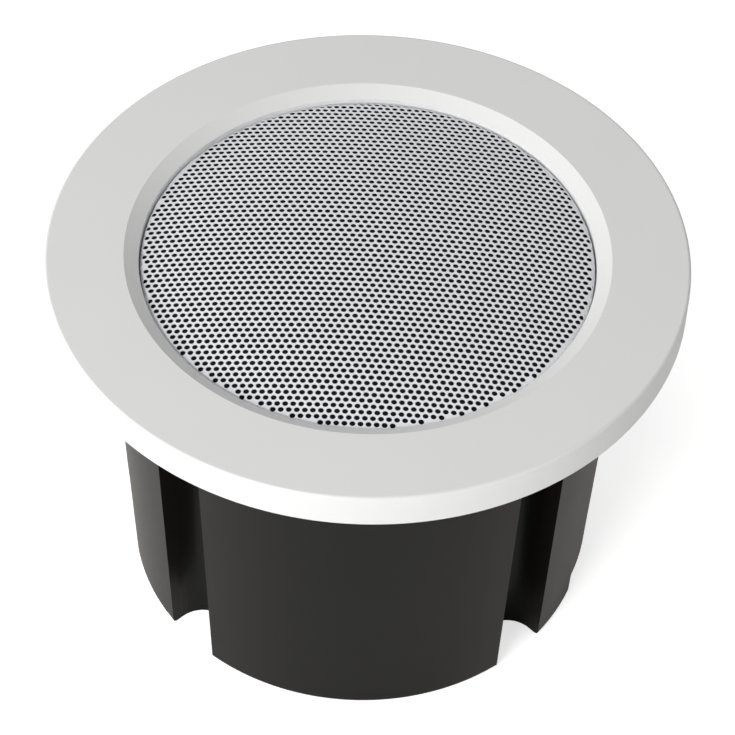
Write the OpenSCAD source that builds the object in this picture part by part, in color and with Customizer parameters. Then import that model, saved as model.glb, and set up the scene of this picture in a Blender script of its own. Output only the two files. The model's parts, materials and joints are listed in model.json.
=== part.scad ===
/* [Bezel] */
// Height of the flange's face above the can's flat bottom
body_h = 140; // [134:1:170]
// Outer diameter of the flange
flange_d = 210; // [202:1:240]
// Height of the flange's rim, from its face to the ceiling
rim_h = 12.2; // [9:0.2:16]
// Wall thickness of the bezel
bezel_wall = 2.5; // [1.8:0.1:3.2]
// Radius of the flange's outer edge
rim_edge_r = 1; // [0.4:0.1:1.6]
// Diameter of the mouth round the grille, on the flange's face
mouth_d = 158.8; // [154:0.2:170]
// Depth of the cone that leads in to the grille
lead_in_h = 3; // [1:0.1:5]
// Width of the cone that leads in to the grille
lead_in_w = 4.7; // [2:0.1:6]
// Width of the ledge that the grille's skirt sits on
ledge_w = 3.7; // [2.6:0.1:5]
// Height of the collar that reaches down from the ledge to the baffle
collar_h = 5.5; // [4:0.5:12]
// Number of ribs under the flange
rib_count = 32; // [16:4:48]
// Thickness of a rib
rib_t = 1.4; // [1:0.1:2.2]
// Distance that the ribs stop short of the ceiling
rib_relief = 1.7; // [1:0.1:2.5]

/* [Grille] */
// Thickness of the perforated sheet
grille_t = 0.8; // [0.6:0.1:1]
// Gap between the grille and the bezel
grille_gap = 0.5; // [0.3:0.1:1]
// Rise of the grille's dome above its rim
grille_rise = 6.5; // [3:0.5:12]
// Depth of the grille's rim below the flange's face
grille_depth = 4; // [2:0.1:6]
// Height of the skirt bent down round the grille
skirt_h = 4.5; // [3:0.1:7]
// Diameter of a perforation
hole_d = 3.8; // [2.5:0.1:4.4]
// Distance between the centres of two perforations
hole_pitch = 6.2; // [6:0.1:9]
// Plain border between the perforations and the grille's edge
hole_border = 1.4; // [1.2:0.1:3]

/* [Back can] */
// Draft of the can's side, in degrees
can_draft = 2.2; // [0.5:0.1:4]
// Wall thickness of the can
can_wall = 2.6; // [1.8:0.1:3.2]
// Radius of the can's bottom edge
can_edge_r = 2; // [0.6:0.1:2.4]
// Width of a clamp channel in the can's side
channel_w = 20.4; // [16:0.2:24]
// Depth of a clamp channel's round floor, from the can's top edge
channel_depth = 20.2; // [17:0.1:22]
// Depth of the flat low on the can's left side
flat_depth = 2.1; // [0.8:0.1:2.4]
// Height of that flat, up to the ramp that ends it
flat_h = 42; // [30:1:60]

/* [Baffle] */
// Thickness of the baffle
baffle_t = 4; // [3.6:0.1:4.6]
// Thickness of the foam seal between the baffle and the can
seal_t = 1.5; // [1:0.1:2]
// Gap round the baffle inside the can's mouth
baffle_gap = 0.4; // [0.3:0.1:1]

/* [Driver] */
// Diameter of the driver's frame
driver_d = 122; // [110:0.5:124]
// Depth of the driver, from its flange to its back plate
driver_h = 55; // [48:1:70]
// Sheet thickness of the driver's frame
frame_t = 1.2; // [0.8:0.1:1.6]
// Thickness of the paper cone
cone_t = 0.7; // [0.5:0.1:1]
// Width of the roll that carries the cone's edge
roll_w = 8; // [6:0.5:10]
// Diameter of the voice coil's former
coil_d = 25.4; // [19:0.2:32]
// Height of the voice coil's winding
coil_h = 8; // [6:0.5:9]
// Clearance either side of the voice coil in the magnet's gap
coil_gap = 0.4; // [0.35:0.05:0.6]
// Travel of the cone to either side of rest
cone_travel = 2.5; // [1:0.5:3]
// Diameter of the magnet
magnet_d = 80; // [66:1:96]
// Thickness of the magnet
magnet_h = 15; // [12:1:16]
// Thickness of the magnet's front plate
plate_h = 5; // [4:0.5:6]
// Thickness of the magnet's back plate
yoke_h = 6; // [5:0.5:7]

/* [Clamps] */
// Length of a clamp arm, from its screw to its tip
arm_l = 28; // [22:0.5:34]
// Width of a clamp arm
arm_w = 8.6; // [6:0.2:9.4]
// Thickness of a clamp arm's plate
arm_t = 3.2; // [2.4:0.2:4]
// Diameter of a clamp arm's hub
hub_d = 9.3; // [9:0.1:11]
// Height of a clamp arm's hub and of the tooth at its tip
hub_h = 9.6; // [7:0.2:12]
// Distance that a clamp arm climbs before it bears on the ceiling
clamp_travel = 5.6; // [3:0.2:9]
// Diameter of a clamp screw
clamp_screw_d = 4; // [3:0.1:4.2]
// Length of a clamp screw under its head
clamp_screw_l = 43; // [30:1:60]
// Radial clearance of a clamp on its screw and on its insert
clamp_fit = 0.05; // [0.03:0.01:0.08]

/* [Line transformer] */
// Length of the transformer's iron core
core_l = 44; // [40:1:50]
// Height of the transformer's iron core
core_h = 37; // [33:1:40]
// Thickness of the stack of laminations
core_t = 18; // [14:1:22]

/* [Wiring bay] */
// Width of the wiring bay, which leaves a notch in the can's bottom edge
bay_w = 60; // [58:1:64]
// Height of the notch in the can's bottom edge
bay_notch_h = 10; // [8:0.5:12]
// Depth of the pocket behind the cover, above the notch
bay_depth = 22; // [20:1:26]
// Thickness of the steel cover
cover_t = 1.2; // [0.8:0.1:2]
// Number of ways in the terminal block
terminal_count = 5; // [3:1:5]

/* [Safety loop] */
// Diameter of the recess round the safety loop
loop_recess_d = 30; // [28:1:32]
// Depth of the recess round the safety loop
loop_recess_h = 14; // [13:0.5:20]
// Diameter of the safety loop's wire
loop_wire_d = 4; // [3:0.25:4.5]

/* [Hidden] */
$fn = 96;

// Colours as the photograph shows them
white_paint = [0.93, 0.93, 0.92];
white_plastic = [0.95, 0.95, 0.94];
black_plastic = [0.09, 0.09, 0.09];
black_steel = [0.06, 0.06, 0.06];
black_paper = [0.05, 0.05, 0.05];
zinc = [0.72, 0.72, 0.7];
brass = [0.72, 0.57, 0.28];

// A little extra length that lets a cut pass clear through a face
over = 1;
// A gap left between two pieces that only rest against each other
seat = 0.3;

// Heights and radii of the bezel
flange_r = flange_d / 2;
mouth_r = mouth_d / 2;
recess_r = mouth_r - lead_in_w;
ledge_r = recess_r - ledge_w;
grille_r = recess_r - grille_gap;
rim_z = body_h - rim_h;
plate_z = body_h - bezel_wall;
grille_z = body_h - grille_depth;
ledge_z = grille_z - skirt_h;
collar_z = ledge_z - collar_h;
rib_z = rim_z + rib_relief;
dome_r = (grille_r * grille_r + grille_rise * grille_rise) / (2 * grille_rise);
dome_z = grille_z + grille_rise - dome_r;

// Heights and radii of the can and the baffle
baffle_z = collar_z - baffle_t;
shelf_z = baffle_z - seal_t;
can_top_z = rib_z - seat;
bezel_screw_pos = recess_r + bezel_wall;
bezel_screw_azimuths = [40, 68];
bezel_screw_d = 3;
bezel_screw_l = 12;
bezel_screw_head = 5;
bezel_boss_r = 2.9;
bezel_boss_relief = 1.5;
shelf_w = 2.45;
shelf_t = 3;
shelf_r = bezel_screw_pos + bezel_boss_r + 0.05;
can_mouth_r = shelf_r + shelf_w;
baffle_r = can_mouth_r - baffle_gap;
function can_r(z) = can_mouth_r + can_wall + (z - shelf_z) * tan(can_draft);
can_top_r = can_r(can_top_z);
can_bottom_r = can_r(0);
flat_ramp = 15;

// The four clamp stations, their channels and the pockets that the arms swing out of
clamp_azimuths = [-45, 45, 135, 225];
channel_r = channel_w / 2;
channel_floor = can_top_r - channel_depth;
channel_pos = channel_floor + channel_r;
hub_r = hub_d / 2;
hub_clear = 0.25;
clamp_pos = channel_floor + hub_clear + hub_r;
insert_wall = 0.95;
insert_r = clamp_screw_d / 2 + insert_wall;
insert_collar_w = 1.25;
insert_collar_r = insert_r + insert_collar_w;
insert_collar_h = 1;
arm_clear = 2.5;
travel_clear = 0.45;
pocket_w = arm_l + arm_clear;
pocket_h = seat + insert_collar_h + clamp_fit + hub_h + clamp_travel + travel_clear;
pocket_z = baffle_z - pocket_h;
insert_z = pocket_z + seat;
arm_z = insert_z + insert_collar_h + clamp_fit;
clamp_head_d = 6.6;
clamp_head_h = 2.2;
driver_bit_r = 3;

// Screws that hold the can to the baffle
can_screw_head = 7;
can_screw_pos = ledge_r - can_screw_head / 2 - 1;
can_screw_azimuth = 54;
can_screw_d = 4;
can_screw_l = 16;
can_boss_r = 4.4;
can_boss_l = 30;
can_boss_rib = 3;
screw_fit = 0.05;

// Heights and radii of the driver, from its flange down
driver_r = driver_d / 2;
driver_recess = 1.2;
driver_recess_gap = 0.4;
driver_cut_r = driver_r - 6.5;
driver_gasket_t = 0.8;
flange_z = collar_z - driver_recess + driver_gasket_t;
front_z = flange_z + frame_t;
back_z = front_z - driver_h;
magnet_z = back_z + yoke_h;
plate_bottom_z = magnet_z + magnet_h;
plate_top_z = plate_bottom_z + plate_h;
roll_inset = 3.5;
cone_r = driver_cut_r - roll_inset - roll_w;
former_r = coil_d / 2;
former_t = 0.3;
winding_t = 0.8;
glue = 0.02;
winding_r = former_r + former_t + glue + winding_t;
pole_r = former_r - coil_gap;
gap_r = winding_r + coil_gap;
winding_z = plate_bottom_z + plate_h / 2 - coil_h / 2;
spider_z = plate_top_z + 9;
spider_r = 36;
spider_t = 0.6;
spider_wave = 1.2;
spider_waves = 4;
neck_z = spider_z + 1.6;
frame_shelf_r = 29;
roll_t = 0.6;
roll_r = roll_w / 2;
roll_pos = cone_r + roll_r;
lip_w = 2.4;
driver_screw_inset = 3.4;
driver_screw_pos = driver_r - driver_screw_inset;
driver_screw_d = 3.5;
driver_screw_l = 12;
driver_screw_azimuth = 45;

// Transformer, wiring bay and safety loop
floor_z = can_wall;
boss_h = 4;
core_z = floor_z + boss_h;
window_w = core_l / 6;
window_h = core_h * 2 / 3;
strap_t = 1;
strap_tab = 10;
transformer_screw_d = 3;
bay_l = 36;
bay_rim = 13.8;
bay_x = can_bottom_r - bay_rim - bay_l;
bay_pocket_w = 48;
cover_gap = 0.5;
cover_overlap = 5;
cover_z = bay_notch_h - cover_t;
cover_screw_d = 3;
cover_screw_head = 5.4;
cover_screw_l = 7;
cover_boss_h = cover_screw_l + 2;
cover_screw_y = (bay_pocket_w / 2 + bay_w / 2) / 2;
grommet_x = bay_x + bay_l - 9;
grommet_y = 13;
grommet_r = 5;
grommet_bore_r = 3;
grommet_lip = 1.6;
block_w = 15;
block_h = 12;
way_pitch = 9;
way_depth = 7;
loop_r = 7;
loop_rim = 4.2;
loop_x = loop_recess_d / 2 + can_wall + loop_rim - can_bottom_r;
transformer_x = (bay_x + loop_x + loop_recess_d / 2) / 2;

// Puts its children at a distance from the axis, at an azimuth counted from the front (-Y) towards +X
module station(azimuth, distance = 0) {
    rotate([0, 0, azimuth - 90])
        translate([distance, 0, 0])
            children();
}

// A round solid standing between two heights
module post(r, z0, z1) {
    translate([0, 0, z0])
        cylinder(r = r, h = z1 - z0);
}

// A ring standing between two heights
module ring(r_out, r_in, z0, z1) {
    difference() {
        post(r_out, z0, z1);
        post(r_in, z0 - over, z1 + over);
    }
}

// A box centred across Y, from x0 to x1 and from z0 to z1
module bar(x0, x1, width, z0, z1) {
    translate([x0, -width / 2, z0])
        cube([x1 - x0, width, z1 - z0]);
}

// A pan-head screw whose head sits on z = 0 and whose shank points down
module pan_screw(d, l, head_d, head_h) {
    slot_w = head_d * 0.16;
    slot_l = head_d * 0.56;
    crown_r = head_d * 1.1;
    difference() {
        union() {
            intersection() {
                cylinder(d = head_d, h = head_h);
                translate([0, 0, head_h - crown_r])
                    sphere(r = crown_r);
            }
            translate([0, 0, -l])
                cylinder(d = d, h = l);
        }
        for (a = [0, 90])
            rotate([0, 0, a])
                bar(-slot_l / 2, slot_l / 2, slot_w, head_h * 0.45, head_h + over);
    }
}

// Bezel: the white moulded flange with its lead-in, ledge and collar
module bezel_section() {
    difference() {
        union() {
            translate([recess_r, plate_z])
                square([flange_r - rim_edge_r - recess_r, bezel_wall]);
            translate([flange_r - bezel_wall, rim_z])
                square([bezel_wall, rim_h - rim_edge_r]);
            translate([flange_r - rim_edge_r, body_h - rim_edge_r])
                circle(r = rim_edge_r);
            translate([recess_r, ledge_z - bezel_wall])
                square([bezel_wall, body_h - ledge_z + bezel_wall]);
            polygon([
                [recess_r + bezel_wall, plate_z - lead_in_h],
                [mouth_r + bezel_wall, plate_z],
                [recess_r + bezel_wall, plate_z]
            ]);
            translate([ledge_r, ledge_z - bezel_wall])
                square([recess_r - ledge_r + bezel_wall, bezel_wall]);
            translate([ledge_r, collar_z])
                square([bezel_wall, collar_h]);
        }
        polygon([
            [recess_r - over, body_h - lead_in_h],
            [recess_r, body_h - lead_in_h],
            [mouth_r, body_h],
            [mouth_r, body_h + over],
            [recess_r - over, body_h + over]
        ]);
    }
}

module bezel_ribs() {
    for (i = [0:rib_count - 1])
        station((i + 0.5) * 360 / rib_count)
            bar(recess_r + bezel_wall * 0.9, flange_r - bezel_wall / 2, rib_t, rib_z, plate_z + bezel_wall / 4);
}

module bezel_bosses() {
    for (c = clamp_azimuths, a = bezel_screw_azimuths)
        station(c + a, bezel_screw_pos)
            post(bezel_boss_r, collar_z, plate_z - bezel_boss_relief);
}

module bezel() {
    color(white_plastic)
        difference() {
            union() {
                rotate_extrude()
                    bezel_section();
                bezel_ribs();
                difference() {
                    bezel_bosses();
                    post(recess_r + bezel_wall / 2, collar_z - over, body_h);
                }
            }
            for (c = clamp_azimuths)
                station(c, clamp_pos)
                    post(driver_bit_r, collar_z - over, ledge_z + over);
            for (c = clamp_azimuths, a = bezel_screw_azimuths)
                station(c + a, bezel_screw_pos)
                    post(bezel_screw_d / 2 + screw_fit, collar_z - over, collar_z + bezel_screw_l - baffle_t + seat);
        }
}

// Grille: a domed sheet with a skirt, punched square to its surface on a triangular grid
hole_row = hole_pitch * sqrt(3) / 2;
hole_reach = grille_r - hole_border - hole_d / 2;
hole_rows = ceil(hole_reach / hole_row);
hole_columns = ceil(hole_reach / hole_pitch) + 1;
hole_places = [
    for (j = [-hole_rows:hole_rows], i = [-hole_columns:hole_columns])
        let (p = [(i + (j % 2 == 0 ? 0 : 0.5)) * hole_pitch, j * hole_row])
            if (norm(p) <= hole_reach) p
];

module grille_sheet() {
    difference() {
        intersection() {
            translate([0, 0, dome_z])
                sphere(r = dome_r, $fn = 360);
            post(grille_r, ledge_z, body_h + grille_rise + over);
        }
        intersection() {
            translate([0, 0, dome_z])
                sphere(r = dome_r - grille_t, $fn = 360);
            post(grille_r - grille_t, ledge_z - over, body_h + grille_rise + over);
        }
    }
}

module grille() {
    color(white_paint)
        difference() {
            grille_sheet();
            translate([0, 0, dome_z])
                for (p = hole_places)
                    rotate([0, asin(norm(p) / dome_r), atan2(p.y, p.x)])
                        post(hole_d / 2, dome_r - grille_t - over, dome_r + over, $fn = 14);
        }
}

// Baffle: the black board that carries the driver and all the screws
module baffle() {
    color(black_plastic)
        difference() {
            post(baffle_r, baffle_z, collar_z);
            post(driver_cut_r, baffle_z - over, collar_z + over);
            post(driver_r + driver_recess_gap, collar_z - driver_recess, collar_z + over);
            for (c = clamp_azimuths) {
                station(c, clamp_pos) {
                    post(clamp_screw_d / 2 + clamp_fit, baffle_z - over, collar_z + over);
                    post(clamp_head_d / 2 + 0.2, collar_z - clamp_head_h - seat, collar_z + over);
                }
                station(c + can_screw_azimuth, can_screw_pos)
                    post(can_screw_d / 2 + screw_fit, baffle_z - over, collar_z + over);
                for (a = bezel_screw_azimuths)
                    station(c + a, bezel_screw_pos)
                        post(bezel_screw_d / 2 + screw_fit, baffle_z - over, collar_z + over);
                station(c + driver_screw_azimuth, driver_screw_pos)
                    post(driver_screw_d / 2 + screw_fit, baffle_z - over, collar_z + over);
            }
        }
}

// Plan of one clamp channel and of its arm pocket, grown by a wall on every side
module channel_plan(grow = 0) {
    translate([channel_pos, 0])
        circle(r = channel_r + grow);
    translate([channel_pos, -channel_r - grow])
        square([can_top_r - channel_pos + over, channel_w + 2 * grow]);
}

module pocket_plan(grow = 0) {
    translate([channel_floor - grow, -channel_r - grow])
        square([can_top_r - channel_floor + grow + over, channel_r + pocket_w + 2 * grow]);
}

// Plan of the can inside a radius, with the channels and pockets left out
module clear_plan(r, grow) {
    difference() {
        circle(r = r);
        for (c = clamp_azimuths)
            station(c) {
                channel_plan(grow);
                pocket_plan(grow);
            }
    }
}

module can_seal() {
    pinch = 0.2;
    color(black_paper)
        translate([0, 0, shelf_z])
            linear_extrude(seal_t)
                difference() {
                    clear_plan(can_mouth_r - baffle_gap, pinch);
                    clear_plan(shelf_r + pinch, can_wall - pinch);
                }
}

// Back can: a tapered cup with four channels, lined arm pockets, bosses and a wiring bay
module can_outside() {
    rotate_extrude() {
        polygon([
            [0, 0],
            [can_bottom_r - can_edge_r, 0],
            [can_bottom_r, can_edge_r],
            [can_top_r, can_top_z],
            [0, can_top_z]
        ]);
        translate([can_bottom_r - can_edge_r, can_edge_r])
            circle(r = can_edge_r);
    }
}

module can_inside() {
    rotate_extrude()
        polygon([
            [0, floor_z],
            [can_r(floor_z) - can_wall, floor_z],
            [can_r(shelf_z - shelf_t) - can_wall, shelf_z - shelf_t - shelf_w],
            [shelf_r, shelf_z - shelf_t],
            [shelf_r, shelf_z],
            [can_mouth_r, shelf_z],
            [can_mouth_r, can_top_z + over],
            [0, can_top_z + over]
        ]);
}

module channels(grow, z0, z1, pocket_floor) {
    for (c = clamp_azimuths)
        station(c) {
            translate([0, 0, z0])
                linear_extrude(z1 - z0)
                    channel_plan(grow);
            translate([0, 0, pocket_floor])
                linear_extrude(z1 - pocket_floor)
                    pocket_plan(grow);
        }
}

// The bay's pocket, the notch that leads to it from the side, and the recess of the safety loop
module bay(grow = 0) {
    bar(bay_x - grow, bay_x + bay_l + grow, bay_pocket_w + 2 * grow, -over, bay_notch_h + bay_depth + grow);
    bar(bay_x - cover_overlap - grow, can_top_r, bay_w + 2 * grow, -over, bay_notch_h + grow);
}

module loop_recess(grow = 0) {
    translate([loop_x, 0, 0])
        post(loop_recess_d / 2 + grow, -over, loop_recess_h + grow);
}

// The flat on the can's left side, which a ramp ends at the top
module side_flat(grow = 0) {
    rotate([90, 0, 0])
        linear_extrude(can_top_r, center = true)
            polygon([
                [grow + flat_depth - can_r(-over), -over],
                [grow + flat_depth - can_r(flat_h), flat_h],
                [grow - over - can_r(flat_h + flat_ramp), flat_h + flat_ramp],
                [-2 * can_top_r, flat_h + flat_ramp],
                [-2 * can_top_r, -over]
            ]);
}

module can_boss() {
    station(can_screw_azimuth) {
        translate([can_screw_pos, 0, 0])
            post(can_boss_r, shelf_z - can_boss_l, baffle_z);
        bar(can_screw_pos, can_r(shelf_z - can_boss_l) - can_wall / 2, can_boss_rib, shelf_z - can_boss_l, shelf_z);
    }
}

module back_can() {
    color(black_plastic)
        difference() {
            union() {
                difference() {
                    can_outside();
                    side_flat();
                    difference() {
                        can_inside();
                        side_flat(can_wall);
                        channels(can_wall, -over, shelf_z, pocket_z - can_wall);
                        bay(can_wall);
                        loop_recess(can_wall);
                    }
                }
                for (c = clamp_azimuths)
                    rotate([0, 0, c])
                        can_boss();
                for (y = [-1, 1]) {
                    translate([transformer_x, y * (core_l + strap_tab) / 2, 0])
                        post(4, floor_z - can_wall / 2, core_z);
                    translate([bay_x + bay_l / 2, y * cover_screw_y, 0])
                        post(3.5, bay_notch_h, bay_notch_h + cover_boss_h);
                }
            }
            channels(0, -over, baffle_z, pocket_z);
            bay();
            loop_recess();
            for (c = clamp_azimuths)
                station(c + can_screw_azimuth, can_screw_pos)
                    post(can_screw_d / 2 + screw_fit, collar_z - can_screw_l - over, baffle_z + over);
            for (y = [-1, 1]) {
                translate([transformer_x, y * (core_l + strap_tab) / 2, 0])
                    post(transformer_screw_d / 2 + screw_fit, floor_z, core_z + over);
                translate([bay_x + bay_l / 2, y * cover_screw_y, 0])
                    post(cover_screw_d / 2 + screw_fit, bay_notch_h - over, bay_notch_h + cover_screw_l);
            }
        }
}

module can_screws() {
    color(black_steel)
        for (c = clamp_azimuths)
            station(c + can_screw_azimuth, can_screw_pos)
                translate([0, 0, collar_z])
                    pan_screw(can_screw_d, can_screw_l, can_screw_head, 2.4);
}

module bezel_screws() {
    color(zinc)
        for (c = clamp_azimuths, a = bezel_screw_azimuths)
            station(c + a, bezel_screw_pos)
                translate([0, 0, baffle_z])
                    mirror([0, 0, 1])
                        pan_screw(bezel_screw_d, bezel_screw_l, bezel_screw_head, 1.5);
}

// Driver: a stamped frame with six windows, from its flange down to the magnet's front plate
module frame_section() {
    polygon([
        [driver_cut_r - roll_inset, flange_z],
        [driver_r, flange_z],
        [driver_r, front_z],
        [driver_cut_r - 4.5, front_z],
        [spider_r + 0.3, spider_z],
        [frame_shelf_r, spider_z],
        [frame_shelf_r - 2, plate_top_z + frame_t],
        [gap_r + 1.5, plate_top_z + frame_t],
        [gap_r + 1.5, plate_top_z],
        [frame_shelf_r - 0.8, plate_top_z],
        [frame_shelf_r + 1.1, spider_z - frame_t],
        [spider_r + 1.2, spider_z - frame_t]
    ]);
}

module driver_frame() {
    window_in = spider_r + 2.4;
    color(black_steel)
        difference() {
            rotate_extrude()
                frame_section();
            for (i = [0:5])
                rotate([0, 0, i * 60])
                    intersection() {
                        bar(window_in, driver_cut_r - 5.5, 30, spider_z - 3 * frame_t, flange_z - 1);
                        for (s = [-1, 1])
                            rotate([0, 0, s * 5])
                                bar(0, driver_r, 2 * driver_r, spider_z - 3 * frame_t, flange_z);
                    }
            for (c = clamp_azimuths)
                station(c + driver_screw_azimuth, driver_screw_pos)
                    post(driver_screw_d / 2 + screw_fit, flange_z - over, front_z + over);
        }
}

module driver_gasket() {
    color(black_paper)
        difference() {
            ring(driver_r - 0.6, driver_cut_r + 0.6, collar_z - driver_recess, flange_z);
            for (c = clamp_azimuths)
                station(c + driver_screw_azimuth, driver_screw_pos)
                    post(driver_screw_d / 2 + screw_fit, flange_z - over - driver_gasket_t, flange_z + over);
        }
}

module driver_screws() {
    color(black_steel)
        for (c = clamp_azimuths)
            station(c + driver_screw_azimuth, driver_screw_pos)
                translate([0, 0, front_z])
                    pan_screw(driver_screw_d, driver_screw_l, 6, 2.2);
}

module surround() {
    color(black_paper)
        rotate_extrude() {
            translate([roll_pos, front_z + roll_t])
                intersection() {
                    difference() {
                        circle(r = roll_r + roll_t / 2);
                        circle(r = roll_r - roll_t / 2);
                    }
                    translate([-roll_w, 0])
                        square([2 * roll_w, roll_w]);
                }
            for (r = [cone_r - lip_w, roll_pos + roll_r - roll_t / 2])
                translate([r, front_z])
                    square([lip_w + roll_t / 2, roll_t]);
        }
}

module surround_ring() {
    inner = roll_pos + roll_r + roll_t;
    color(black_paper)
        ring(inner + 1.8, inner, front_z + roll_t, front_z + roll_t + 2);
}

function spider_height(r) =
    spider_z + spider_wave * (1 - cos(360 * spider_waves * (r - winding_r) / (spider_r - winding_r))) / 2;

module spider() {
    steps = 12 * spider_waves;
    inner = former_r + former_t + glue;
    flat = 3;
    radii = [for (i = [0:steps]) winding_r + 1 + (spider_r - flat - winding_r - 1) * i / steps];
    wave = [for (r = radii) [r, spider_height(r)]];
    path = concat([[inner, spider_z]], wave, [[spider_r, spider_z]]);
    color([0.35, 0.27, 0.14])
        rotate_extrude()
            polygon(concat(path, [for (i = [len(path) - 1:-1:0]) path[i] + [0, spider_t]]));
}

function cone_height(u) = neck_z + (front_z - cone_t - neck_z) * pow(u, 0.86);

module cone() {
    inner = former_r + former_t + glue;
    steps = 12;
    wall = [for (i = [0:steps]) [inner + (cone_r - lip_w - inner) * i / steps, cone_height(i / steps)]];
    path = concat(wall, [[cone_r, front_z - cone_t]]);
    color(black_paper)
        rotate_extrude()
            polygon(concat(path, [for (i = [len(path) - 1:-1:0]) path[i] + [0, cone_t - glue]]));
}

module dust_cap() {
    cap_r = former_r + 3;
    cap_h = 5;
    cap_z = cone_height((cap_r - former_r - former_t) / (cone_r - lip_w - former_r)) + cone_t + seat;
    ball = (cap_r * cap_r + cap_h * cap_h) / (2 * cap_h);
    color(black_paper)
        translate([0, 0, cap_z])
            intersection() {
                translate([0, 0, cap_h - ball])
                    difference() {
                        sphere(r = ball);
                        sphere(r = ball - cone_t);
                    }
                cylinder(r = cap_r, h = cap_h + over);
            }
}

module coil_former() {
    color([0.75, 0.6, 0.35])
        ring(former_r + former_t, former_r, winding_z - 0.5, neck_z + 1.2);
}

module coil_winding() {
    color([0.66, 0.36, 0.2])
        ring(winding_r, former_r + former_t + glue, winding_z, winding_z + coil_h);
}

module top_plate() {
    color(zinc)
        ring(magnet_d / 2 - 3, gap_r, plate_bottom_z, plate_top_z);
}

module magnet() {
    color([0.2, 0.2, 0.2])
        ring(magnet_d / 2, gap_r + 5, magnet_z, plate_bottom_z);
}

module yoke() {
    vent_r = 4;
    color(zinc)
        difference() {
            union() {
                post(magnet_d / 2 - 3, back_z, magnet_z);
                post(pole_r, back_z, plate_top_z);
            }
            post(vent_r, back_z - over, plate_top_z + over);
        }
}

module driver_terminals() {
    board_t = 1.5;
    board_w = 18;
    tab_x = spider_r + 1.2 + seat;
    station(30) {
        color([0.3, 0.2, 0.1])
            bar(tab_x, tab_x + 9, board_w, spider_z - frame_t - board_t, spider_z - frame_t);
        color(brass)
            for (y = [-5, 5])
                translate([tab_x + 5, y, 0])
                    bar(0, 0.8, 4.8, spider_z - frame_t - board_t - 8, spider_z - frame_t - board_t);
    }
}

// Line transformer: laminated core with two windows, wound bobbin and strap
module transformer_core() {
    color([0.45, 0.46, 0.48])
        translate([transformer_x, 0, 0])
            difference() {
                bar(-core_t / 2, core_t / 2, core_l, core_z, core_z + core_h);
                for (s = [-1, 1])
                    translate([0, s * core_l / 4, 0])
                        bar(-core_t, core_t, window_w, core_z + (core_h - window_h) / 2, core_z + (core_h + window_h) / 2);
            }
}

module transformer_coil() {
    skin = 0.4;
    leg = core_l / 2 - window_w;
    half = core_l / 4 + window_w / 2 - skin;
    low = core_z + (core_h - window_h) / 2 + skin;
    high = core_z + (core_h + window_h) / 2 - skin;
    color([0.8, 0.7, 0.35])
        translate([transformer_x, 0, 0])
            difference() {
                bar(-core_t / 2 - window_w, core_t / 2 + window_w, 2 * half, low, high);
                bar(-core_t / 2 - skin, core_t / 2 + skin, leg + 2 * skin, low - over, high + over);
            }
}

module transformer_strap() {
    top = core_z + core_h + seat;
    side = core_l / 2 + seat;
    color(zinc)
        translate([transformer_x, 0, 0])
            difference() {
                union() {
                    bar(-core_t / 2 + 2, core_t / 2 - 2, 2 * (side + strap_t), core_z, top + strap_t);
                    bar(-core_t / 2 + 2, core_t / 2 - 2, core_l + 2 * strap_tab, core_z, core_z + strap_t);
                }
                bar(-core_t, core_t, 2 * side, core_z - over, top);
                for (s = [-1, 1])
                    translate([0, s * (core_l + strap_tab) / 2, 0])
                        post(transformer_screw_d / 2 + screw_fit, core_z - over, core_z + strap_t + over);
            }
}

module transformer_screws() {
    color(zinc)
        for (s = [-1, 1])
            translate([transformer_x, s * (core_l + strap_tab) / 2, core_z + strap_t])
                pan_screw(transformer_screw_d, 4.5, 5, 1.6);
}

// Wiring bay: terminal block, its screws, the steel cover and its grommets
block_x = bay_x + 2 + block_w / 2;
block_z = bay_notch_h + bay_depth - block_h;
block_l = terminal_count * way_pitch + 1;

module terminal_block() {
    color([0.12, 0.12, 0.13])
        translate([block_x, 0, 0])
            difference() {
                bar(-block_w / 2, block_w / 2, block_l, block_z, block_z + block_h);
                for (i = [0:terminal_count - 1])
                    translate([0, (i - (terminal_count - 1) / 2) * way_pitch, 0]) {
                        post(2.6, block_z - over, block_z + way_depth);
                        translate([0, 0, block_z + 5])
                            rotate([0, 90, 0])
                                cylinder(r = 2.1, h = block_w + over, center = true);
                    }
            }
}

module terminal_screws() {
    color(zinc)
        for (i = [0:terminal_count - 1])
            translate([block_x, (i - (terminal_count - 1) / 2) * way_pitch, block_z + way_depth - seat])
                mirror([0, 0, 1])
                    translate([0, 0, 2.4])
                        pan_screw(3, 2.4, 4.6, 1.6);
}

module terminal_cover() {
    x0 = bay_x - cover_overlap + cover_gap;
    x1 = bay_x + bay_l + cover_overlap;
    color(black_steel)
        difference() {
            bar(x0, x1, bay_w - 2 * cover_gap, cover_z, bay_notch_h);
            for (y = [-1, 1]) {
                translate([bay_x + bay_l / 2, y * cover_screw_y, 0])
                    post(cover_screw_d / 2 + screw_fit, cover_z - over, bay_notch_h + over);
                translate([grommet_x, y * grommet_y, 0])
                    post(grommet_r, cover_z - over, bay_notch_h + over);
            }
        }
}

module cover_screws() {
    color(black_steel)
        for (y = [-1, 1])
            translate([bay_x + bay_l / 2, y * cover_screw_y, cover_z])
                mirror([0, 0, 1])
                    pan_screw(cover_screw_d, cover_screw_l, cover_screw_head, 1.6);
}

module cable_grommets() {
    color(black_paper)
        for (y = [-1, 1])
            translate([grommet_x, y * grommet_y, 0])
                rotate_extrude()
                    difference() {
                        translate([grommet_bore_r, cover_z - grommet_lip])
                            square([grommet_r + grommet_lip - grommet_bore_r, cover_t + 2 * grommet_lip]);
                        translate([grommet_r - screw_fit, cover_z - screw_fit])
                            square([grommet_lip + over, cover_t + 2 * screw_fit]);
                    }
}

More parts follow.
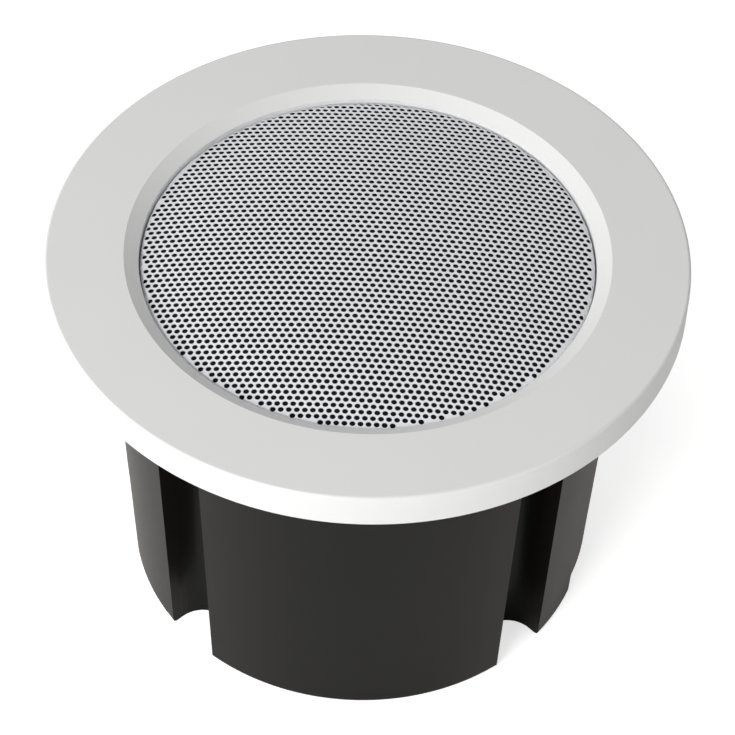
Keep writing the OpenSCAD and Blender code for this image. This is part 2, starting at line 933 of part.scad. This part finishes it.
// Safety loop: a half ring of wire whose legs stand in the roof of its recess
module safety_loop() {
    leg = 2.5;
    root = 2;
    centre = loop_recess_h - leg;
    color(zinc)
        translate([loop_x, 0, 0]) {
            translate([0, 0, centre])
                rotate([90, 0, 90])
                    rotate([0, 0, 180])
                        rotate_extrude(angle = 180)
                            translate([loop_r, 0])
                                circle(d = loop_wire_d, $fn = 32);
            for (y = [-1, 1])
                translate([0, y * loop_r, 0]) {
                    post(loop_wire_d / 2, centre, loop_recess_h);
                    post(loop_wire_d / 2 + root, loop_recess_h - 1, loop_recess_h);
                }
        }
}

// Clamps: a screw, a threaded insert that climbs it, and an arm that swings out on the insert
module clamp_screw(azimuth) {
    color(zinc)
        station(azimuth, clamp_pos)
            translate([0, 0, collar_z - clamp_head_h])
                pan_screw(clamp_screw_d, clamp_screw_l, clamp_head_d, clamp_head_h);
}

module clamp_insert(azimuth) {
    color(brass)
        station(azimuth, clamp_pos)
            difference() {
                union() {
                    post(insert_collar_r, insert_z, insert_z + insert_collar_h);
                    post(insert_r, insert_z, arm_z + hub_h);
                }
                post(clamp_screw_d / 2 + clamp_fit, insert_z - over, arm_z + hub_h + over);
            }
}

module clamp_arm(azimuth) {
    web = 2.4;
    tooth = 6;
    web_h = hub_h - 2.5;
    tip = arm_l - arm_w / 2;
    color(black_plastic)
        station(azimuth, clamp_pos)
            rotate([0, 0, 90])
                difference() {
                    union() {
                        post(hub_r, arm_z, arm_z + hub_h);
                        bar(0, tip, arm_w, arm_z, arm_z + arm_t);
                        bar(0, tip, web, arm_z, arm_z + web_h);
                        translate([tip, 0, 0])
                            post(arm_w / 2, arm_z, arm_z + arm_t);
                        intersection() {
                            bar(arm_l - tooth, arm_l, arm_w, arm_z, arm_z + hub_h);
                            translate([tip, 0, 0])
                                post(arm_w / 2, arm_z, arm_z + hub_h);
                        }
                    }
                    post(insert_r + clamp_fit, arm_z - over, arm_z + hub_h + over);
                }
}

bezel();
grille();
baffle();
can_seal();
back_can();
can_screws();
bezel_screws();
driver_frame();
driver_gasket();
driver_screws();
surround();
surround_ring();
spider();
cone();
dust_cap();
coil_former();
coil_winding();
top_plate();
magnet();
yoke();
driver_terminals();
transformer_core();
transformer_coil();
transformer_strap();
transformer_screws();
terminal_block();
terminal_screws();
terminal_cover();
cover_screws();
cable_grommets();
safety_loop();
clamp_screw(clamp_azimuths[0]);  // clamp_screw_1
clamp_screw(clamp_azimuths[1]);  // clamp_screw_2
clamp_screw(clamp_azimuths[2]);  // clamp_screw_3
clamp_screw(clamp_azimuths[3]);  // clamp_screw_4
clamp_insert(clamp_azimuths[0]);  // clamp_insert_1
clamp_insert(clamp_azimuths[1]);  // clamp_insert_2
clamp_insert(clamp_azimuths[2]);  // clamp_insert_3
clamp_insert(clamp_azimuths[3]);  // clamp_insert_4
clamp_arm(clamp_azimuths[0]);  // clamp_arm_1
clamp_arm(clamp_azimuths[1]);  // clamp_arm_2
clamp_arm(clamp_azimuths[2]);  // clamp_arm_3
clamp_arm(clamp_azimuths[3]);  // clamp_arm_4
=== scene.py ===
import json
import math

import bpy
from mathutils import Matrix, Vector


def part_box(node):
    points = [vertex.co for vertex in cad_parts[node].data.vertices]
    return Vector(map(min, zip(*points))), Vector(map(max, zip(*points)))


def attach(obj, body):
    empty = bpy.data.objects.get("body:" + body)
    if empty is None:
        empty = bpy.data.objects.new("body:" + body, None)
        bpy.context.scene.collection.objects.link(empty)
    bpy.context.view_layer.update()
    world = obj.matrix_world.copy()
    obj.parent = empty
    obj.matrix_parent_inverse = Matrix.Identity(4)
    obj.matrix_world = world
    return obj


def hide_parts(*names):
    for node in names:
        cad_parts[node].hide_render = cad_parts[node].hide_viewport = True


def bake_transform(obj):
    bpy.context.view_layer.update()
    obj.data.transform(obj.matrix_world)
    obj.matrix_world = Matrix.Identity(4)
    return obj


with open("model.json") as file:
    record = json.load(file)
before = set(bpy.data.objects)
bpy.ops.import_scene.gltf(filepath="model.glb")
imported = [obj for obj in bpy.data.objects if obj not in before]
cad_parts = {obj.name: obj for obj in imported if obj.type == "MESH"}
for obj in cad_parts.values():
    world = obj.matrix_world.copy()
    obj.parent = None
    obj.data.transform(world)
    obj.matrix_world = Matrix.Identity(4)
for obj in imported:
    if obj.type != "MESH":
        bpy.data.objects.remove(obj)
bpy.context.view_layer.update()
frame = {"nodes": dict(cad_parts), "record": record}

mm = 0.001
nodes = frame["nodes"]
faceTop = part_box("bezel")[1].z  # height of the flange's face
print("frame loaded:", len(nodes), "nodes")


# Shared helpers

def srgb(code):
    # hex colour to the linear values that the shader sockets take
    channels = [int(code[i:i + 2], 16) / 255 for i in (1, 3, 5)]
    linear = [c / 12.92 if c <= 0.04045 else ((c + 0.055) / 1.055) ** 2.4 for c in channels]
    return (*linear, 1)


def addNode(tree, kind, settings=None, **links):
    # settings are attributes and sockets by name, links are sockets fed by other nodes
    node = tree.nodes.new("ShaderNode" + kind)
    for name, value in (settings or {}).items():
        if hasattr(node, name):
            setattr(node, name, value)
        else:
            node.inputs[name].default_value = value
    for name, source in links.items():
        tree.links.new(source, node.inputs[name.replace("_", " ")])
    return node


def newMaterial(name):
    material = bpy.data.materials.new(name)
    material.use_nodes = True
    material.node_tree.nodes.clear()
    return material, material.node_tree


def finishMaterial(tree, shader, bump=None):
    if bump:
        tree.links.new(bump.outputs["Normal"], shader.inputs["Normal"])
    out = addNode(tree, "OutputMaterial")
    tree.links.new(shader.outputs[0], out.inputs["Surface"])


def objectCoords(tree):
    return addNode(tree, "TexCoord").outputs["Object"]


patchGrains = 60  # a finish's tint varies over patches of this many grains


def surfaceMaterial(name, color, roughness, grain, depth, tint=0.06, spread=0.08,
                    metallic=0, ior=1.5, **more):
    # one layered finish: broad tint, and a fine grain that drives both bump and roughness
    material, tree = newMaterial(name)
    place = objectCoords(tree)
    fineScale = 1 / (grain * mm)
    fine = addNode(tree, "TexNoise", {"Scale": fineScale, "Detail": 3, "Roughness": 0.6}, Vector=place)
    broad = addNode(tree, "TexNoise", {"Scale": fineScale / patchGrains, "Detail": 2}, Vector=place)
    base = srgb(color)
    low = [c * (1 - tint) for c in base[:3]] + [1]
    high = [min(c * (1 + tint), 1) for c in base[:3]] + [1]
    mix = addNode(tree, "Mix", {"data_type": "RGBA"})
    mix.inputs[6].default_value = low
    mix.inputs[7].default_value = high
    tree.links.new(broad.outputs["Fac"], mix.inputs[0])
    rough = addNode(tree, "MapRange", {"To Min": roughness - spread, "To Max": roughness + spread},
                    Value=fine.outputs["Fac"])
    shader = addNode(tree, "BsdfPrincipled", {"Metallic": metallic, "IOR": ior, **more})
    tree.links.new(mix.outputs[2], shader.inputs["Base Color"])
    tree.links.new(rough.outputs["Result"], shader.inputs["Roughness"])
    bump = addNode(tree, "Bump", {"Strength": 1.0, "Distance": depth * mm}, Height=fine.outputs["Fac"])
    finishMaterial(tree, shader, bump)
    return material


def setMaterial(obj, material):
    obj.data.materials.clear()
    obj.data.materials.append(material)


def smoothByAngle(obj, angle=32):
    obj.data.shade_smooth()
    obj.data.set_sharp_from_angle(angle=math.radians(angle))


def ringAngles(count):
    return [2 * math.pi * n / count for n in range(count)]


def turned(section, angles):
    # the section's points as (radius, height), carried round the axis, one section after another
    return [(r * math.cos(a), r * math.sin(a), z) for a in angles for r, z in section]


def meshObject(name, verts, faces, material, body):
    mesh = bpy.data.meshes.new(name)
    mesh.from_pydata(verts, [], faces)
    mesh.validate()
    mesh.update()
    obj = bpy.data.objects.new(name, mesh)
    bpy.context.scene.collection.objects.link(obj)
    setMaterial(obj, material)
    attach(obj, body)
    return obj


# Camera: the photograph's own view, found from the flange's ellipse and the can's edges

photoView = {
    "focal": 139.0, "sensor": 36.0,
    "elevation": 48.05, "roll": 1.95,
    "place": (0.00104, -0.6454, 0.6603),  # from the centre of the flange's face
}


def makeCamera(view):
    data = bpy.data.cameras.new("photoCamera")
    data.lens = view["focal"]
    data.sensor_width = view["sensor"]
    data.clip_end = 20
    camera = bpy.data.objects.new("photoCamera", data)
    bpy.context.scene.collection.objects.link(camera)
    tilt = Matrix.Rotation(math.radians(90 - view["elevation"]), 4, "X")
    roll = Matrix.Rotation(math.radians(view["roll"]), 4, "Z")
    spot = Matrix.Translation(Vector(view["place"]) + Vector((0, 0, faceTop)))
    camera.matrix_world = spot @ tilt @ roll
    bpy.context.scene.camera = camera


makeCamera(photoView)
print("camera placed")


# Studio: a pale floor that shows white to the camera, a soft world and three area lamps

studio = {
    "floorSize": 6.0, "floorColor": "#f4f4f3",
    "floorGlow": 0.62,  # only for the camera, so that the paper shows white
    "worldColor": "#ffffff", "worldStrength": 0.4,
    "aimHeight": 0.75,  # share of the object's height
    "lamps": [  # name, size, power, azimuth from the front towards +X, elevation, distance
        ("keyLamp", 1.1, 26, -34, 29, 1.9),
        ("leftLamp", 0.9, 11, -100, 14, 1.9),
        ("rightLamp", 0.9, 1.0, 98, 9, 1.9),
    ],
}


def makeFloor(values):
    size = values["floorSize"]
    mesh = bpy.data.meshes.new("floor")
    corners = [(-size, -size, 0), (size, -size, 0), (size, size, 0), (-size, size, 0)]
    mesh.from_pydata(corners, [], [(0, 1, 2, 3)])
    floor = bpy.data.objects.new("floor", mesh)
    bpy.context.scene.collection.objects.link(floor)
    material, tree = newMaterial("paleStudioPaper")
    paper = addNode(tree, "BsdfPrincipled", {"Base Color": srgb(values["floorColor"]), "Roughness": 0.9})
    glow = addNode(tree, "Emission", {"Color": (1, 1, 1, 1), "Strength": values["floorGlow"]})
    path = addNode(tree, "LightPath")
    both = addNode(tree, "AddShader")
    tree.links.new(paper.outputs[0], both.inputs[0])
    tree.links.new(glow.outputs[0], both.inputs[1])
    pick = addNode(tree, "MixShader")
    tree.links.new(path.outputs["Is Camera Ray"], pick.inputs[0])
    tree.links.new(paper.outputs[0], pick.inputs[1])
    tree.links.new(both.outputs[0], pick.inputs[2])
    finishMaterial(tree, pick)
    setMaterial(floor, material)


def makeWorld(values):
    world = bpy.data.worlds.new("studioWorld")
    bpy.context.scene.world = world
    world.use_nodes = True
    tree = world.node_tree
    tree.nodes.clear()
    path = addNode(tree, "LightPath")
    seen = addNode(tree, "Math", {"operation": "MAXIMUM"})
    tree.links.new(path.outputs["Is Camera Ray"], seen.inputs[0])
    tree.links.new(path.outputs["Is Transmission Ray"], seen.inputs[1])
    strength = addNode(tree, "MapRange", {"To Min": values["worldStrength"], "To Max": 1.0},
                       Value=seen.outputs[0])
    back = addNode(tree, "Background", {"Color": srgb(values["worldColor"])})
    tree.links.new(strength.outputs[0], back.inputs["Strength"])
    out = addNode(tree, "OutputWorld")
    tree.links.new(back.outputs[0], out.inputs["Surface"])


def makeLamps(values):
    aim = Vector((0, 0, faceTop * values["aimHeight"]))
    for name, size, power, azimuth, elevation, distance in values["lamps"]:
        data = bpy.data.lights.new(name, "AREA")
        data.shape = "DISK"
        data.size = size
        data.energy = power
        lamp = bpy.data.objects.new(name, data)
        bpy.context.scene.collection.objects.link(lamp)
        turn, rise = math.radians(azimuth), math.radians(elevation)
        way = Vector((math.sin(turn) * math.cos(rise), -math.cos(turn) * math.cos(rise), math.sin(rise)))
        facing = way.to_track_quat("Z", "Y").to_matrix().to_4x4()
        lamp.matrix_world = Matrix.Translation(aim + way * distance) @ facing


makeFloor(studio)
makeWorld(studio)
makeLamps(studio)
bpy.context.scene.view_settings.view_transform = "Standard"
print("studio lit")


# Materials

def mouldedWhiteAbs():
    # ABS straight from a fine-eroded tool: satin, almost no grain, soft wide highlight
    return surfaceMaterial("mouldedWhiteAbs", "#ebebea", 0.42, 0.5, 0.006, tint=0.012, spread=0.05,
                           ior=1.54)


def powderCoatedSteel():
    # polyester powder coat on steel: satin with slight orange peel
    return surfaceMaterial("powderCoatedSteel", "#f1f2f5", 0.46, 0.9, 0.014, tint=0.015, spread=0.06)


def sparkedBlackAbs():
    # black ABS from a spark-eroded tool: deep black face on, with a warm grey sheen at a grazing look
    sheen = {"Sheen Weight": 0.12, "Sheen Roughness": 0.32, "Sheen Tint": srgb("#e0c8a8")}
    return surfaceMaterial("sparkedBlackAbs", "#0f0e0d", 0.34, 0.45, 0.012, tint=0.05, spread=0.05,
                           ior=1.54, **{"Specular IOR Level": 0.18}, **sheen)


def finishes():
    return {
        "white_abs": mouldedWhiteAbs(),
        "white_powder_coat": powderCoatedSteel(),
        "black_abs": sparkedBlackAbs(),
        # closed-cell foam: matt, open pores at the cut face
        "black_foam": surfaceMaterial("cutBlackFoam", "#1d1d1d", 0.95, 0.6, 0.12, tint=0.2, spread=0.04),
        # cathodic electrocoat on pressed steel: thin, even, semi-gloss black
        "black_steel": surfaceMaterial("coatedBlackSteel", "#151515", 0.38, 0.8, 0.01, tint=0.05),
        # zinc plate with clear passivate: bluish grey metal with a faint spangle
        "zinc_steel": surfaceMaterial("zincPlatedSteel", "#b9bcc0", 0.3, 0.35, 0.006,
                                      tint=0.08, metallic=1),
        # butyl rubber, moulded: soft dull black
        "black_rubber": surfaceMaterial("mouldedBlackRubber", "#191919", 0.62, 0.5, 0.02, tint=0.08),
        # pressed paper pulp: matt black with long fibres
        "black_paper": surfaceMaterial("pressedPaperPulp", "#1b1b1d", 0.85, 0.7, 0.08, tint=0.18),
        # cotton weave stiffened with phenolic resin: yellow-brown, dull
        "brown_cloth": surfaceMaterial("resinedCottonWeave", "#8a6a34", 0.75, 0.5, 0.09, tint=0.18),
        # polyimide film: amber, glossy
        "brown_former": surfaceMaterial("amberPolyimideFilm", "#9a5a1e", 0.25, 0.8, 0.004, tint=0.05),
        # enamelled copper wire, close wound: red-gold metal in fine turns
        "copper": surfaceMaterial("enamelledCopperWire", "#c8764a", 0.3, 0.2, 0.03, tint=0.1, metallic=1),
        # sintered ferrite: dark grey ceramic, ground faces, slightly porous
        "ferrite": surfaceMaterial("sinteredFerrite", "#36373a", 0.6, 0.4, 0.03, tint=0.1),
        # paper phenolic board: brown, semi-matt
        "phenolic": surfaceMaterial("paperPhenolicBoard", "#6a4222", 0.5, 0.6, 0.01, tint=0.1),
        # stacked silicon steel laminations: dull blue-grey edges
        "silicon_steel": surfaceMaterial("stackedSiliconSteel", "#7c8087", 0.45, 0.25, 0.03,
                                         tint=0.15, metallic=1),
        # polyester winding tape: clear yellow, glossy
        "yellow_tape": surfaceMaterial("polyesterWindingTape", "#d9b13a", 0.28, 1.0, 0.01, tint=0.06),
        # glass-filled nylon, moulded: black, faint grey fibres at the surface
        "black_nylon": surfaceMaterial("glassFilledNylon", "#222224", 0.55, 0.35, 0.03, tint=0.14),
        # turned brass: yellow metal with fine tool marks
        "brass": surfaceMaterial("turnedBrass", "#d2aa5a", 0.28, 0.3, 0.008, tint=0.08, metallic=1),
    }


finish = finishes()
slotOf = {s["node"]: s["material_slot"] for s in frame["record"]["subparts"]}
for name, obj in nodes.items():
    setMaterial(obj, finish[slotOf[name]])
    smoothByAngle(obj)
print("materials on", len(nodes), "CAD nodes")


# Rim: the flange's outer skin once more in fine steps, because its round edge is the picture's outline

rimSkin = {
    "height": 12.2 * mm, "edgeRadius": 1.0 * mm, "skin": 0.5 * mm,
    "land": 0.02 * mm,  # the skin stops this far above the rim's foot
    "arcSteps": 10, "segments": 360,
}


def makeRim(values):
    outer, edge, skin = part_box("bezel")[1].x, values["edgeRadius"], values["skin"]
    arc = [math.pi / 2 * k / values["arcSteps"] for k in range(values["arcSteps"] + 1)]
    spots = [(math.sin(a), math.cos(a)) for a in arc]
    base = faceTop - values["height"] + values["land"]
    section = [(outer - edge + edge * x, faceTop - edge + edge * z) for x, z in spots] + [(outer, base)]
    inside = [(outer - edge + (edge - skin) * x, faceTop - edge + (edge - skin) * z) for x, z in spots]
    section += [*inside, (outer - skin, base)][::-1]
    segments, size = values["segments"], len(section)
    verts, faces = turned(section, ringAngles(segments)), []
    for n in range(segments):
        m = (n + 1) % segments
        for k in range(size):
            j = (k + 1) % size
            faces.append((n * size + k, n * size + j, m * size + j, m * size + k))
    rim = meshObject("bezelRim", verts, faces, finish["white_abs"], "housing")
    smoothByAngle(rim)


makeRim(rimSkin)
print("rim drawn in fine steps")


# Grille: one sheet punched with all its holes, domed, and drawn down round its edge

grilleSheet = {
    "pitch": 2.51 * mm, "holeRadius": 0.95 * mm, "sides": 12,
    "thickness": 0.3 * mm, "bendRadius": 1.6 * mm,
    "domeBase": 4 * mm,  # below the flange's face
    "turn": -1.2,  # degrees, as the rows lie in the photograph
    "shift": (-0.27 * mm, -0.74 * mm),
    "lastHole": 73.6 * mm,  # beyond it the sheet is plain, down to the skirt's edge
    "margin": 0.3,  # share of the pitch that the last cells stay short of the skirt's edge
    "smoothAngle": 40,
}


def grilleProfile(values):
    # the sheet's section by arc length from the middle: dome, bend, skirt
    low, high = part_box("grille")
    edge, rise = high.x, high.z - (faceTop - values["domeBase"])
    crown = (edge ** 2 + rise ** 2) / (2 * rise)
    centre = high.z - crown
    bend = values["bendRadius"]
    inner = edge - bend
    # the bend's centre lies inside the dome by its radius and inside the skirt by its radius
    reach = crown - bend
    bendZ = centre + math.sqrt(reach ** 2 - inner ** 2)
    domeAngle = math.asin(inner / reach)
    domeLength = crown * domeAngle
    bendLength = bend * (math.pi / 2 - domeAngle)
    total = domeLength + bendLength + bendZ - low.z

    def at(s, depth):
        # depth is measured inwards, square to the outer face
        if s <= domeLength:
            angle = s / crown
            r = crown - depth
            return r * math.sin(angle), centre + r * math.cos(angle)
        if s <= domeLength + bendLength:
            angle = domeAngle + (s - domeLength) / bend
            r = bend - depth
            return inner + r * math.sin(angle), bendZ + r * math.cos(angle)
        return edge - depth, bendZ - (s - domeLength - bendLength)

    return at, total


def makeGrille(values):
    at, total = grilleProfile(values)
    pitch, sides, thickness = values["pitch"], values["sides"], values["thickness"]
    row = pitch * math.sqrt(3) / 2
    corner = pitch / math.sqrt(3)
    turn = math.radians(values["turn"])
    first = turn + math.radians(30)
    span = int(total / row) + 3
    flat, faces, shared, borders = [], [], {}, {}

    def sharedVertex(x, y, depth):
        # a cell's corner belongs to three cells, so it is kept once for each face of the sheet
        grid = pitch / 20
        key = (round(x / grid), round(y / grid), depth)
        if key not in shared:
            shared[key] = len(flat)
            flat.append((x, y, depth))
        return shared[key]

    for j in range(-span, span + 1):
        for i in range(-span, span + 1):
            u = (i + (j % 2) / 2) * pitch + values["shift"][0]
            v = j * row + values["shift"][1]
            x = u * math.cos(turn) - v * math.sin(turn)
            y = u * math.sin(turn) + v * math.cos(turn)
            away = math.hypot(x, y)
            if away > total - pitch * values["margin"]:
                continue
            ways = [first + k * math.pi / 3 for k in range(6)]
            spots = [(x + corner * math.cos(a), y + corner * math.sin(a)) for a in ways]
            outer, under = [[sharedVertex(*spot, depth) for spot in spots] for depth in (0, thickness)]
            for k in range(6):
                m = (k + 1) % 6
                borders[outer[k], outer[m]] = (under[k], under[m])
            if away > values["lastHole"]:
                faces += [outer, under[::-1]]
                continue
            start = len(flat)
            for depth in (0, thickness):
                for n in range(sides):
                    angle = first + 2 * math.pi * n / sides
                    flat.append((x + values["holeRadius"] * math.cos(angle),
                                 y + values["holeRadius"] * math.sin(angle), depth))
            for k in range(6):
                m = (k + 1) % 6
                rim = [start + (k * sides // 6 + n) % sides for n in range(sides // 6 + 1)][::-1]
                faces.append([outer[k], outer[m]] + rim)
                faces.append(([under[k], under[m]] + [v + sides for v in rim])[::-1])
            for n in range(sides):
                m = (n + 1) % sides
                faces.append((start + n, start + m, start + sides + m, start + sides + n))
    # where a cell has no neighbour the sheet ends: its corners go to the skirt's edge, closed by a wall
    ends = set()
    for (a, b), (c, d) in borders.items():
        if (b, a) not in borders:
            faces.append((b, a, c, d))
            ends.update((a, b, c, d))
    verts = []
    for n, (x, y, depth) in enumerate(flat):
        s = math.hypot(x, y)
        r, z = at(total if n in ends else min(s, total), depth)
        verts.append((x / s * r, y / s * r, z) if s > 1e-9 else (0, 0, z))
    coat = "white_powder_coat"
    sheet = meshObject("perforatedGrille", verts, faces, finish[coat], "housing")
    smoothByAngle(sheet, values["smoothAngle"])
    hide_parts("grille")
    sheet.data.calc_loop_triangles()
    print("grille:", len(shared), "corners,", len(sheet.data.loop_triangles), "triangles")


makeGrille(grilleSheet)


# Painted shade: a black sheet with a fine weave bump just inside the grille sheet, standing in for the
# shade inside the speaker, which keeps the holes dark right to the grille's edge

holeShadeSheet = {
    "thickness": 0.15 * mm, "rings": 16, "segments": 96,
    "margin": 1.0 * mm,  # past the centre of the last hole
    "weaveScale": 1 / (1.2 * mm), "weaveDepth": 0.05 * mm,
}


def paintedHoleShade(values):
    # painted shade: matt black that stands in for the shade inside the speaker, with a faint crossing rib
    # as bump
    material, tree = newMaterial("paintedHoleShade")
    place = objectCoords(tree)
    warp, weft = [addNode(tree, "TexWave", {"Scale": values["weaveScale"], "bands_direction": way},
                          Vector=place) for way in ("X", "Y")]
    weave = addNode(tree, "Math", {"operation": "MULTIPLY"})
    tree.links.new(warp.outputs["Fac"], weave.inputs[0])
    tree.links.new(weft.outputs["Fac"], weave.inputs[1])
    # painted shade: near-black base colour seen through the holes
    shader = addNode(tree, "BsdfPrincipled", {"Base Color": srgb("#101011"), "Roughness": 0.9,
                                              "Specular IOR Level": 0.2})
    bump = addNode(tree, "Bump", {"Distance": values["weaveDepth"]}, Height=weave.outputs[0])
    finishMaterial(tree, shader, bump)
    return material


def makeHoleShadeSheet(values, sheet):
    at = grilleProfile(sheet)[0]
    near = sheet["thickness"]
    far = near + values["thickness"]
    rings, segments = values["rings"], values["segments"]
    reach = sheet["lastHole"] + values["margin"]
    stations = [reach * (k + 1) / rings for k in range(rings)]
    section = [at(s, near) for s in stations] + [at(s, far) for s in stations[::-1]]
    verts = [(0, 0, at(0, near)[1])]
    for spot in section:
        verts += turned([spot], ringAngles(segments))
    verts.append((0, 0, at(0, far)[1]))
    faces = []
    for n in range(segments):
        m = (n + 1) % segments
        faces.append((0, 1 + n, 1 + m))
        for k in range(len(section) - 1):
            a, b = 1 + k * segments, 1 + (k + 1) * segments
            faces.append((a + n, b + n, b + m, a + m))
        last = 1 + (len(section) - 1) * segments
        faces.append((last + n, len(verts) - 1, last + m))
    shadeSheet = meshObject("holeShadeSheet", verts, faces, paintedHoleShade(values), "housing")
    smoothByAngle(shadeSheet)
    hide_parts("grille")


makeHoleShadeSheet(holeShadeSheet, grilleSheet)
print("cloth behind the grille")


# Suspension: the roll and the spider stretch from the frame to the cone, in sectors

suspension = {
    "sectors": 12, "stepsPerSector": 8, "smoothAngle": 40,
    "rollRadius": 4.0 * mm, "rollSheet": 0.6 * mm, "lip": 2.4 * mm, "rollSteps": 14,
    "spiderWaves": 4, "stepsPerWave": 12, "waveHeight": 1.2 * mm, "spiderSheet": 0.6 * mm,
    "spiderFlat": 3.0 * mm,  # outer land, glued to the frame
    "spiderStart": 1.0 * mm, "spiderLap": 0.7 * mm,  # first wave past the coil, and lap under it
}


def rollSection(values):
    # half roll with a flat lip on each side, drawn clockwise as one closed outline
    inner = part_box("cone")[1].x
    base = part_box("surround")[0].z
    radius, sheet, lip = values["rollRadius"], values["rollSheet"], values["lip"]
    middle = inner + radius
    arc = [math.pi * k / values["rollSteps"] for k in range(values["rollSteps"] + 1)]
    over, under = radius + sheet / 2, radius - sheet / 2
    outside = [(middle - over * math.cos(a), base + sheet + over * math.sin(a)) for a in arc]
    inside = [(middle + under * math.cos(a), base + sheet / 2 + under * math.sin(a)) for a in arc]
    left, right = inner - lip, middle + radius + lip
    return [(left, base), (left, base + sheet)] + outside + [(right, base + sheet), (right, base)] + inside


def spiderSection(values):
    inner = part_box("coil_winding")[1].x
    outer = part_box("spider")[1].x
    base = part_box("spider")[0].z
    waves = values["spiderWaves"]
    count = waves * values["stepsPerWave"]
    start, stop = inner + values["spiderStart"], outer - values["spiderFlat"]
    under = []
    for k in range(count + 1):
        r = start + (stop - start) * k / count
        turn = 2 * math.pi * waves * (r - inner) / (outer - inner)
        under.append((r, base + values["waveHeight"] * (1 - math.cos(turn)) / 2))
    under = [(inner - values["spiderLap"], base)] + under + [(outer, base)]
    # over the top from the coil outwards, then back underneath, so that it runs clockwise like the roll
    return [(r, z + values["spiderSheet"]) for r, z in under] + under[::-1]


def makeSectors(name, section, slot, values):
    sectors, steps = values["sectors"], values["stepsPerSector"]
    half = math.pi / sectors
    for k in range(sectors):
        angles = [(2 * k - 1) * half + 2 * half * n / steps for n in range(steps + 1)]
        verts, faces = turned(section, angles), []
        size = len(section)
        for n in range(steps):
            for m in range(size):
                a, b = n * size + m, n * size + (m + 1) % size
                faces.append((a, b, b + size, a + size))
        faces += [list(range(size))[::-1], list(range(steps * size, (steps + 1) * size))]
        piece = meshObject(f"{name}_{k + 1}", verts, faces, finish[slot], "housing")
        piece.parent = None
        smoothByAngle(piece, values["smoothAngle"])
        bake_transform(piece)
        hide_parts(name)


def makeSuspension(values):
    makeSectors("surround", rollSection(values), "black_rubber", values)
    makeSectors("spider", spiderSection(values), "brown_cloth", values)


makeSuspension(suspension)
print("suspension in", suspension["sectors"], "sectors")


# Clamp screws: cross-headed machine screws with their whole thread

clampScrew = {
    "pitch": 0.7 * mm, "depth": 0.4 * mm, "radius": 2.0 * mm,
    "rowsPerTurn": 5, "sides": 18, "smoothAngle": 35,
    "pointTurns": 1.5, "pointShare": 0.6,  # the point's length, and its radius at the very end
    "neck": 0.3 * mm,  # plain shank below the head
    "headHeight": 2.2 * mm,
    # the head's outline: share of its radius, height above its seat
    "head": [(1, 0), (1, 1.1 * mm), (0.93, 1.6 * mm), (0.75, 1.95 * mm), (0.45, 2.14 * mm)],
    "slotWidth": 1.0 * mm, "slotLength": 3.7 * mm, "slotDepth": 1.2 * mm,
}


def makeClampScrew(number, values):
    name = f"clamp_screw_{number}"
    low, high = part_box(name)
    middle = (low + high) / 2
    headRadius = (high.x - low.x) / 2
    headBase = high.z - values["headHeight"]
    sides, pitch, blunt = values["sides"], values["pitch"], values["pointShare"]
    point = pitch * values["pointTurns"]
    rows = int((headBase - low.z) / pitch * values["rowsPerTurn"])
    rings = []
    for k in range(rows + 1):
        z = low.z + (headBase - low.z) * k / rows
        taper = min(1, blunt + (1 - blunt) * (z - low.z) / point)
        phases = [(z / pitch - n / sides) % 1 for n in range(sides)]
        depth = values["depth"] if z < headBase - values["neck"] else 0
        rings.append([(values["radius"] * taper - depth * (1 - abs(2 * phase - 1)), z) for phase in phases])
    rings += [[(headRadius * share, headBase + rise)] * sides for share, rise in values["head"]]
    verts, faces = [(middle.x, middle.y, low.z)], []
    for ring in rings:
        for (radius, z), a in zip(ring, ringAngles(sides)):
            verts.append((middle.x + radius * math.cos(a), middle.y + radius * math.sin(a), z))
    verts.append((middle.x, middle.y, high.z))
    for n in range(sides):
        m = (n + 1) % sides
        faces.append((0, 1 + m, 1 + n))
        for k in range(len(rings) - 1):
            a, b = 1 + k * sides, 1 + (k + 1) * sides
            faces.append((a + n, a + m, b + m, b + n))
        last = 1 + (len(rings) - 1) * sides
        faces.append((last + n, last + m, len(verts) - 1))
    zinc = "zinc_steel"
    screw = meshObject(f"clampScrew_{number}", verts, faces, finish[zinc], f"screw_{number}")
    cutCross(screw, (middle.x, middle.y, high.z), values)
    smoothByAngle(screw, values["smoothAngle"])
    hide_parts(name)


def cutCross(screw, spot, values):
    # a cross recess, cut with two small boxes
    boxFaces = [(0, 2, 3, 1), (4, 5, 7, 6), (0, 1, 5, 4), (2, 6, 7, 3), (0, 4, 6, 2), (1, 3, 7, 5)]
    narrow, long = values["slotWidth"], values["slotLength"]
    for width, length in ((narrow, long), (long, narrow)):
        mesh = bpy.data.meshes.new("cutter")
        x, y, z = width / 2, length / 2, values["slotDepth"]
        corners = [(i * x, j * y, k * z) for k in (-1, 1) for j in (-1, 1) for i in (-1, 1)]
        mesh.from_pydata(corners, [], boxFaces)
        cutter = bpy.data.objects.new("cutter", mesh)
        cutter.location = spot
        bpy.context.scene.collection.objects.link(cutter)
        cut = screw.modifiers.new("cross", "BOOLEAN")
        cut.operation, cut.object, cut.solver = "DIFFERENCE", cutter, "EXACT"
        bpy.context.view_layer.update()
        evaluated = screw.evaluated_get(bpy.context.evaluated_depsgraph_get())
        baked = bpy.data.meshes.new_from_object(evaluated)
        screw.modifiers.clear()
        screw.data = baked
        bpy.data.objects.remove(cutter)


for number in range(1, 5):
    makeClampScrew(number, clampScrew)
print("clamp screws threaded")
